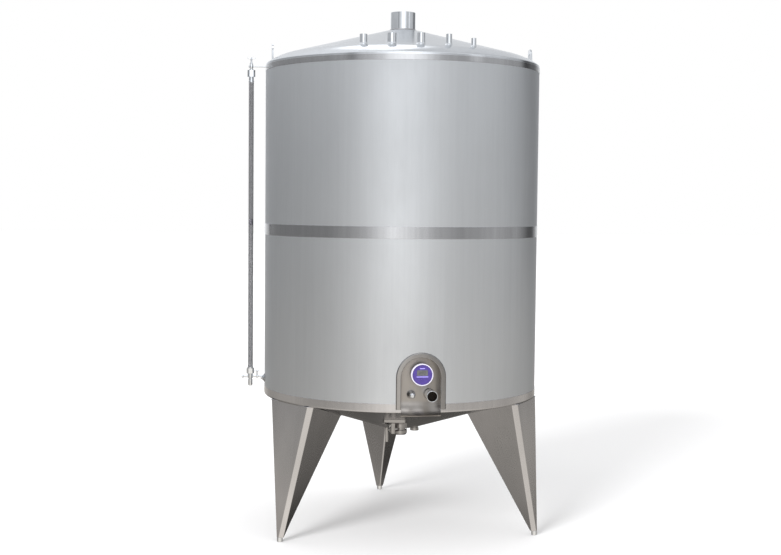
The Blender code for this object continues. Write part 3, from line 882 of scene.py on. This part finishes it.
def make_thermometer():
    low, high = place_of("thermometer_case")
    centre = (low + high) / 2.0
    radius = (high.x - low.x) / 2.0
    front = -low.y
    recess = 0.006
    length = front - R_ROOT
    case = turned(rounded([
        (0.0, 0.0),
        (0.009, 0.0),
        (0.009, length - 0.032, 0.003),
        (radius - 0.004, length - 0.030, 0.004),
        (radius, length - 0.022, 0.003),
        (radius, length, 0.0026),
        (radius - 0.0042, length, 0.0014),
        (radius - 0.0048, length - recess),
        (0.0, length - recess),
    ], 5), 128)
    spot = (centre.x, -R_ROOT, centre.z)
    piece("dial_case", stood(case, spot, (0, -1, 0)), WHITE_PLASTIC,
          ["thermometer_case"])
    plate = front - recess
    disc = turned(rounded([(0.0, 0.0), (radius - 0.0052, 0.0), (radius - 0.0052, 0.0020, 0.0006),
                           (0.0, 0.0024)], 3), 96)
    piece("dial_plate", stood(disc, (centre.x, -plate - GAP, centre.z), (0, -1, 0)), VIOLET_PLASTIC,
          ["thermometer_face"])
    x, z = centre.x, centre.z
    face = -(plate + GAP + 0.0023)
    screen = prism(box_outline(x - 0.026, z - 0.004, x + 0.026, z + 0.022, 0.003), face - 0.0006, face)
    piece("dial_screen", screen, SCREEN_PLASTIC)
    ink = []
    size = 0.0066
    for place, digit in enumerate("240"):
        left = x - 0.0155 + place * 0.0115
        for name in DIGITS[digit]:
            ends = []
            for a, b in STROKES[name]:
                ends.append((left + a * size, z + 0.0022 + b * size))
            ink.append(stroke(ends[0], ends[1], 0.0016, face - 0.0006, 0.0003))
    piece("dial_digits", merged(*ink), DARK_INK)
    bars = [prism(box_outline(x - 0.028, z - 0.0115, x + 0.028, z - 0.0075, 0.0015), face - 0.0004, face),
            prism(box_outline(x - 0.012, z + 0.0275, x + 0.012, z + 0.0315, 0.0015), face - 0.0004, face)]
    piece("dial_bars", merged(*bars), LILAC_INK)
    keys = []
    for k in range(3):
        key_x = x + (k - 1) * 0.014
        knob = turned(rounded([(0.0, 0.0), (0.0042, 0.0), (0.0042, 0.0012, 0.0006), (0.0, 0.0014)], 3), 32)
        keys.append(stood(knob, (key_x, face + 0.0002, z - 0.0225), (0, -1, 0)))
    piece("dial_keys", merged(*keys), VIOLET_PLASTIC)


# Level gauge.
GAUGE_X = (place_of("gauge_tube")[0].x + place_of("gauge_tube")[1].x) / 2.0


def up_gauge(bm):
    return moved(bm, Matrix.Translation((GAUGE_X, 0, 0)))


def hex_nut(radius, low, high):
    """A six-sided nut with its corners turned down at both ends."""
    corner = radius * 0.14
    body = turned([(0.0, low), (radius, low), (radius, high), (0.0, high)], 6)
    limit = turned([
        (0.0, low - 0.0001),
        (radius * 0.88, low - 0.0001),
        (radius * 1.02, low + corner * 0.6),
        (radius * 1.02, high - corner * 0.6),
        (radius * 0.88, high + 0.0001),
        (0.0, high + 0.0001),
    ], 64)
    return fused(body, limit, "INTERSECT")


def make_gauge():
    foot_low = place_of("gauge_lower_fitting")[0]
    nut_low, nut_high = place_of("gauge_lower_nut")
    tube_low, tube_high = place_of("gauge_tube")
    up_low, up_high = place_of("gauge_upper_nut")
    z_bar = 0.767
    flare = []
    for k in range(9):
        share = k / 8.0
        flare.append((0.0075 + 0.0235 * (1.0 - share) ** 2.2, 0.024 * share))
    boss = turned([(0.0, -0.002), (0.031, -0.002)] + flare + [(0.0, 0.024)], 64)
    stood(boss, (-R_SHELL + 0.003, 0, z_bar - 0.008), (-1, 0, 0))
    bar_start = -R_SHELL - 0.010
    length = bar_start - foot_low.x
    bar = turned(rounded([
        (0.0, 0.0), (0.0060, 0.0), (0.0060, 0.024, 0.001), (0.0085, 0.025, 0.001), (0.0085, 0.032, 0.001),
        (0.0060, 0.033, 0.001), (0.0060, length - 0.010, 0.001), (0.0078, length - 0.009, 0.001),
        (0.0078, length - 0.001, 0.002), (0.0, length),
    ], 3), 48)
    stood(bar, (bar_start, 0, z_bar), (-1, 0, 0))
    body = up_gauge(turned(rounded([
        (0.0, foot_low.z), (0.0085, foot_low.z, 0.002), (0.0115, foot_low.z + 0.006, 0.002),
        (0.0115, foot_low.z + 0.032, 0.001), (0.0090, foot_low.z + 0.034, 0.001),
        (0.0090, foot_low.z + 0.038, 0.001), (0.0130, foot_low.z + 0.040, 0.001),
        (0.0130, nut_low.z - 0.001, 0.0015), (0.0, nut_low.z - 0.0003),
    ], 4), 64))
    piece("gauge_foot", merged(boss, bar, body), FITTING_STEEL, ["gauge_lower_fitting"])
    lower_nut = up_gauge(hex_nut((nut_high.x - nut_low.x) / 2.0, nut_low.z, nut_high.z - 0.006))
    collar = up_gauge(turned(rounded([(0.0, nut_high.z - 0.008), (0.0155, nut_high.z - 0.008),
                                      (0.0155, nut_high.z, 0.0015), (0.0, nut_high.z)], 3), 64))
    piece("gauge_nut_low", merged(lower_nut, collar), FITTING_STEEL,
          ["gauge_lower_nut"])
    r_tube = (tube_high.x - tube_low.x) / 2.0
    r_bore = 0.0105
    glass_tube = turned(rounded([(r_bore, tube_low.z), (r_tube, tube_low.z, 0.0008),
                                 (r_tube, tube_high.z, 0.0008), (r_bore, tube_high.z)], 3), 64)
    piece("gauge_glass_tube", up_gauge(glass_tube), TUBE_GLASS, ["gauge_tube"])
    float_low, float_high = place_of("gauge_float")
    r_float = (float_high.x - float_low.x) / 2.0
    marker = turned(rounded([(0.0, float_low.z), (r_float, float_low.z, 0.003),
                             (r_float, float_high.z, 0.003), (0.0, float_high.z)], 4), 48)
    piece("gauge_marker", up_gauge(marker), WHITE_PLASTIC, ["gauge_float"])
    upper_nut = up_gauge(hex_nut(0.0195, 2.290, up_high.z))
    sleeve = up_gauge(turned(rounded([
        (0.0, up_low.z), (0.0137, up_low.z, 0.001), (0.0137, up_low.z + 0.007, 0.001),
        (0.0125, up_low.z + 0.009, 0.001), (0.0125, 2.289, 0.001), (0.0, 2.291),
    ], 3), 64))
    piece("gauge_nut_high", merged(upper_nut, sleeve), FITTING_STEEL,
          ["gauge_upper_nut"])
    head_low, head_high = place_of("gauge_upper_fitting")
    z_arm = 2.343
    head = up_gauge(turned(rounded([
        (0.0, head_low.z), (0.0100, head_low.z, 0.001), (0.0100, head_low.z + 0.005, 0.001),
        (0.0072, head_low.z + 0.007, 0.001), (0.0098, z_arm - 0.005, 0.003), (0.0098, z_arm + 0.005, 0.003),
        (0.0072, head_high.z - 0.005, 0.001), (0.0085, head_high.z - 0.004, 0.001),
        (0.0085, head_high.z, 0.0008), (0.0, head_high.z),
    ], 4), 48))
    arm_length = head_high.x - (GAUGE_X - 0.014)
    arm = turned(rounded([
        (0.0, 0.0), (0.0052, 0.0, 0.002), (0.0052, 0.005, 0.001), (0.0030, 0.0055, 0.001),
        (0.0030, arm_length), (0.0, arm_length),
    ], 3), 48)
    stood(arm, (GAUGE_X - 0.014, 0, z_arm), (1, 0, 0))
    piece("gauge_head", merged(head, arm), FITTING_STEEL, ["gauge_upper_fitting"])


def make_wings():
    """The gauge's two handles: a butterfly above, a small cross bar below."""
    low, high = place_of("gauge_upper_handle")
    half = (high.x - low.x) / 2.0
    z_wing = 2.385
    outline = []
    count = 48
    for k in range(count):
        angle = 2.0 * math.pi * k / count
        x = half * math.cos(angle)
        lobe = 0.0032 + 0.0056 * (abs(x) / half) ** 1.6
        z = z_wing + lobe * math.sin(angle) + 0.0030 * (abs(x) / half) ** 2 - 0.0010
        outline.append((GAUGE_X + x, z))
    wing = prism(outline, -0.0028, 0.0028, 0.0016)
    stem = up_gauge(turned(rounded([
        (0.0, low.z), (0.0050, low.z, 0.0008), (0.0050, low.z + 0.006, 0.001),
        (0.0038, low.z + 0.008, 0.001), (0.0046, z_wing - 0.003, 0.001), (0.0046, z_wing + 0.003, 0.002),
        (0.0, z_wing + 0.004),
    ], 3), 32))
    piece("gauge_wing_high", merged(wing, stem), FITTING_STEEL,
          ["gauge_upper_handle"], body="gauge_upper_handle")
    low, high = place_of("gauge_lower_handle")
    x = (low.x + high.x) / 2.0
    half = (high.x - low.x) / 2.0
    z_knob = 0.794
    bar = turned(rounded([(0.0, -half), (0.0036, -half, 0.002), (0.0030, 0.0, 0.01),
                          (0.0036, half, 0.002), (0.0, half)], 5), 24)
    stood(bar, (x, 0, z_knob), (1, 0, 0))
    stem = turned(rounded([(0.0, low.z), (0.0040, low.z, 0.0006), (0.0040, low.z + 0.006, 0.001),
                           (0.0030, low.z + 0.008, 0.001), (0.0040, z_knob, 0.002), (0.0, z_knob + 0.003)],
                          3), 32)
    moved(stem, Matrix.Translation((x, 0, 0)))
    piece("gauge_wing_low", merged(bar, stem), FITTING_STEEL,
          ["gauge_lower_handle"], body="gauge_lower_handle")


# Drain valve under the bottom.
def below_slope():
    """A cutter for what would reach into the bottom."""
    return turned([(0.0, 1.0), (0.0, Z_SUMP - SEAT), (R_SUMP, Z_SUMP - SEAT),
                   (R_INNER, cone_z(R_INNER) - SEAT), (0.80, under_z(0.80) - SEAT), (0.80, 1.0)], 192)


# The valve stands here, and its lever turns about a line along X through the pivot.
VALVE_X = -0.034
VALVE_Y = -0.275
PIVOT_Y = -0.285
PIVOT_Z = 0.533
# The pad that the bracket hangs from, in radii from the tank's axis.
R_PAD_IN = 0.335
R_PAD_OUT = 0.392
PAD_THICK = 0.014


def make_drain():
    z_low = place_of("drain_valve")[0].z
    waist_low = 0.529
    waist_top = 0.5415
    z_top = cone_z(0.325)
    body = turned(rounded([
        (0.020, z_low, 0.0008), (0.0275, z_low, 0.001), (0.034, z_low + 0.008, 0.002),
        (0.034, waist_low, 0.0018), (0.026, waist_low, 0.001), (0.026, waist_top, 0.001),
        (0.034, waist_top, 0.0018), (0.034, z_top - 0.002), (0.0, z_top), (0.0, waist_low),
        (0.020, waist_low),
    ], 4), 96)
    moved(body, Matrix.Translation((VALVE_X, VALVE_Y, 0)))
    spindle = turned(rounded([(0.0, 0.0), (0.010, 0.0), (0.010, 0.0205, 0.001), (0.0, 0.0205)], 3), 48)
    stood(spindle, (VALVE_X - 0.015, PIVOT_Y, PIVOT_Z), (-1, 0, 0))
    body = fused(body, spindle, "UNION")
    body = fused(body, below_slope())
    piece("valve_body", body, VALVE_STEEL, ["drain_valve"])
    studs = []
    for azimuth in (255.0, 345.0, 75.0, 165.0):
        spot = Vector((VALVE_X, VALVE_Y, waist_low - 0.001)) + polar(0.0305, azimuth, 0.0)
        stud = turned([(0.0, 0.0), (0.0022, 0.0), (0.0022, waist_top - waist_low + 0.002),
                       (0.0, waist_top - waist_low + 0.002)], 16)
        studs.append(moved(stud, Matrix.Translation(spot)))
    piece("valve_studs", merged(*studs), VALVE_STEEL)

    edge = 0.003
    seat_in = cone_z(R_PAD_IN) - SEAT
    seat_out = cone_z(R_PAD_OUT) - SEAT
    pad = turned(rounded([(R_PAD_IN, seat_in - PAD_THICK, edge), (R_PAD_OUT, seat_out - PAD_THICK, edge),
                          (R_PAD_OUT, seat_out), (R_PAD_IN, seat_in)], 3), 96, 225.0, 60.0)
    width = prism(box_outline(place_of("drain_bracket")[0].x, 0.4, -0.029, 0.8, 0.0), -0.5, -0.2)
    pad = fused(pad, width, "INTERSECT")
    cheek = prism(box_outline(-0.0898, 0.519, -0.0700, 0.62, 0.003), -0.350, -0.265, 0.0025)
    bracket = fused(fused(cheek, pad, "UNION"), below_slope())
    ob = piece("valve_bracket", bracket, VALVE_STEEL, ["drain_bracket"])
    soften(ob, 0.0012, 2, 50.0)

    hub = turned(rounded([(0.0, 0.0), (0.010, 0.0, 0.0008), (0.010, 0.0058), (0.0, 0.0058)], 3), 48)
    stood(hub, (-0.0905, PIVOT_Y, PIVOT_Z), (-1, 0, 0))
    reach = 0.0575
    half = 0.009
    outline = [(half * 0.9, half), (-half * 0.9, half), (-half * 0.86, -0.020)]
    for k in range(17):
        angle = math.pi + math.pi * k / 16.0
        outline.append((half * math.cos(angle), half * math.sin(angle) - reach))
    outline.append((half * 0.86, -0.020))
    grip = prism(outline, 0.0, 0.0155, 0.0045, 4)
    moved(grip, Matrix.Translation((-0.0960, PIVOT_Y, PIVOT_Z)) @ Matrix.Rotation(rad(90), 4, "Z"))
    screw = turned(rounded([(0.0, 0.0), (0.0048, 0.0), (0.0048, 0.0028, 0.0008), (0.0, 0.0028)], 3), 6)
    stood(screw, (-0.1110, PIVOT_Y, PIVOT_Z), (-1, 0, 0))
    piece("valve_lever", merged(hub, grip, screw), VALVE_STEEL, ["drain_lever"],
          body="drain_lever")

    low, high = place_of("drain_stub")
    centre = (low + high) / 2.0
    radius = (high.x - low.x) / 2.0
    stub = turned(rounded([(0.0, low.z), (radius, low.z, 0.002), (radius, low.z + 0.014, 0.001),
                           (radius - 0.003, low.z + 0.016, 0.001), (radius - 0.003, Z_SUMP + 0.006),
                           (0.0, Z_SUMP + 0.006)], 4), 64)
    piece("blind_stub", moved(stub, Matrix.Translation((centre.x, centre.y, 0))), VALVE_STEEL,
          ["drain_stub"])


# Camera, floor and light.
CAMERA_AZIMUTH = 261.5
PHOTO_WIDTH = 781.0
FOCAL_PIXELS = 1290.4
SENSOR = 36.0
CAMERA_PLACE = (-0.9288, -6.61597, 1.66467)
CAMERA_TURN = (1.51249, -0.00998, -0.13982)


def make_camera():
    data = bpy.data.cameras.new("camera")
    data.sensor_width = SENSOR
    data.lens = FOCAL_PIXELS / PHOTO_WIDTH * SENSOR
    camera = bpy.data.objects.new("camera", data)
    camera.location = CAMERA_PLACE
    camera.rotation_euler = Euler(CAMERA_TURN, "XYZ")
    scene.collection.objects.link(camera)
    scene.camera = camera


# Brightness round the horizon, by azimuth from the camera's own: what smooth steel mirrors.
HORIZON = ((-180, 1.12), (-160, 1.12), (-148, 0.72), (-135, 0.34), (-115, 0.30), (-85, 0.30), (-60, 0.32),
           (-42, 0.46), (-28, 0.70), (-16, 1.10), (-7, 1.46), (2, 1.32), (14, 0.95), (30, 0.62),
           (48, 0.46), (64, 0.52), (82, 0.60), (98, 0.48), (108, 0.50), (118, 0.30), (128, 0.12),
           (138, 0.11), (147, 0.42), (158, 0.85), (170, 1.06), (180, 1.12))
# Brightness well above and below it, which rough steel gathers.
HIGH = ((-180, 0.72), (-150, 0.95), (-120, 0.95), (-85, 1.02), (-50, 0.98), (-25, 0.92), (0, 0.85),
        (25, 0.90), (50, 0.88), (85, 0.82), (115, 0.60), (135, 0.45), (155, 0.75), (180, 0.72))
LOW = ((-180, 0.11), (-145, 0.16), (-120, 0.28), (-90, 0.46), (-50, 0.80), (-15, 1.00), (15, 1.05),
       (50, 0.85), (90, 0.62), (125, 0.32), (145, 0.04), (180, 0.11))
# Soft lamps on the tent, and shades where the strength is negative: azimuth from the camera's,
# elevation, half width, half height, strength.
LAMPS = (
    (8, 14, 28, 9, 1.00),
    (-174, 54, 18, 17, 2.60),
    (60, 16, 10, 11, 0.55),
    (-40, 15, 8, 9, -0.40),
    (118, 14, 12, 10, -0.35),
    (125, -13, 28, 9, 0.45),
    (-105, -13, 50, 9, 0.24),
    (-12, -11, 24, 8, -0.22),
    (0, 62, 50, 18, 2.00),
)


def glow(table, angle):
    """Read a table of (angle, value) with smooth steps between its rows."""
    for (start, low), (end, high) in zip(table, table[1:]):
        if start <= angle <= end:
            share = (angle - start) / (end - start)
            return low + (high - low) * share * share * (3.0 - 2.0 * share)
    return table[-1][1]


def tent_color(azimuth, elevation):
    """The light tent's colour towards a direction seen from the tank."""
    angle = (azimuth - CAMERA_AZIMUTH + 180.0) % 360.0 - 180.0
    far = glow(HIGH if elevation > 0.0 else LOW, angle)
    share = min(max((abs(elevation) - 6.0) / 20.0, 0.0), 1.0)
    share = share * share * (3.0 - 2.0 * share)
    value = glow(HORIZON, angle) * (1.0 - share) + far * share
    for lamp_angle, lamp_up, half_wide, half_high, strength in LAMPS:
        aside = (angle - lamp_angle + 180.0) % 360.0 - 180.0
        off = math.hypot(aside / half_wide, (elevation - lamp_up) / half_high)
        if off < 1.0:
            value += strength * (1.0 - off * off) ** 2
    cool = min(0.02, max(-0.05, 0.02 + 0.005 * elevation))
    return (value * (1.0 - cool), value, value * (1.0 + 1.5 * cool), 1.0)


def make_tent():
    """A sphere that only mirrors see, painted with soft light."""
    radius = 9.0
    centre = Vector((AXIS_X, 0.0, 1.5))
    around, rows = 180, 90
    bm = bmesh.new()
    grid = []
    shades = []
    for j in range(rows + 1):
        elevation = -90.0 + 180.0 * j / rows
        ring = []
        for i in range(around):
            azimuth = 360.0 * i / around
            out = polar(math.cos(rad(elevation)), azimuth, math.sin(rad(elevation)))
            ring.append(bm.verts.new(centre + out * radius))
            shades.append(tent_color(azimuth, elevation))
        grid.append(ring)
    for j in range(rows):
        for i in range(around):
            k = (i + 1) % around
            bm.faces.new((grid[j][i], grid[j][k], grid[j + 1][k], grid[j + 1][i]))
    mesh = bpy.data.meshes.new("light_tent")
    bm.to_mesh(mesh)
    bm.free()
    paint = mesh.color_attributes.new("glow", "FLOAT_COLOR", "POINT")
    for row, shade in zip(paint.data, shades):
        row.color = shade
    mat = bpy.data.materials.new("tent_glow")
    mat.use_nodes = True
    tree = mat.node_tree
    tree.nodes.clear()
    emission = tree.nodes.new("ShaderNodeEmission")
    shade = tree.nodes.new("ShaderNodeAttribute")
    shade.attribute_name = "glow"
    output = tree.nodes.new("ShaderNodeOutputMaterial")
    tree.links.new(shade.outputs["Color"], emission.inputs["Color"])
    tree.links.new(emission.outputs[0], output.inputs["Surface"])
    mesh.materials.append(mat)
    tent = bpy.data.objects.new("light_tent", mesh)
    scene.collection.objects.link(tent)
    tent.visible_camera = False
    tent.visible_diffuse = False
    tent.visible_transmission = False
    tent.visible_volume_scatter = False
    tent.visible_shadow = False


KEY_AZIMUTH = 229.0
KEY_ELEVATION = 26.0
KEY_STRENGTH = 2.2
KEY_SOFTNESS = 20.0


def make_light():
    world = bpy.data.worlds.new("studio")
    world.use_nodes = True
    world.node_tree.nodes["Background"].inputs["Color"].default_value = (1.0, 1.0, 1.0, 1.0)
    world.node_tree.nodes["Background"].inputs["Strength"].default_value = 1.0
    scene.world = world
    data = bpy.data.lights.new("key_light", "SUN")
    data.energy = KEY_STRENGTH
    data.angle = rad(KEY_SOFTNESS)
    key = bpy.data.objects.new("key_light", data)
    towards = polar(math.cos(rad(KEY_ELEVATION)), KEY_AZIMUTH, math.sin(rad(KEY_ELEVATION)))
    key.rotation_euler = towards.to_track_quat("Z", "Y").to_euler()
    scene.collection.objects.link(key)
    key.visible_glossy = False


def make_floor():
    mat, tree, shader = new_material("floor_white", 0.0, 0.9)
    shader.inputs["Specular IOR Level"].default_value = 0.0
    clouds = noise(tree, (0.6, 0.6, 0.6), 2.0)
    tree.links.new(tinted(tree, (0.92, 0.92, 0.925), spread(tree, clouds, 0.995, 1.005)),
                   shader.inputs["Base Color"])
    bm = bmesh.new()
    bmesh.ops.create_grid(bm, x_segments=8, y_segments=8, size=60.0)
    mesh = bpy.data.meshes.new("floor")
    bm.to_mesh(mesh)
    bm.free()
    mesh.materials.append(mat)
    floor = bpy.data.objects.new("floor", mesh)
    scene.collection.objects.link(floor)
    floor.visible_glossy = False


make_camera()
make_shell()
make_bands()
make_roof()
make_nozzles()
make_lugs()
make_bottom()
make_legs()
make_niche()
make_outlet()
make_stub()
make_thermometer()
make_gauge()
make_wings()
make_drain()
make_tent()
make_light()
make_floor()
scene.view_settings.view_transform = "Standard"
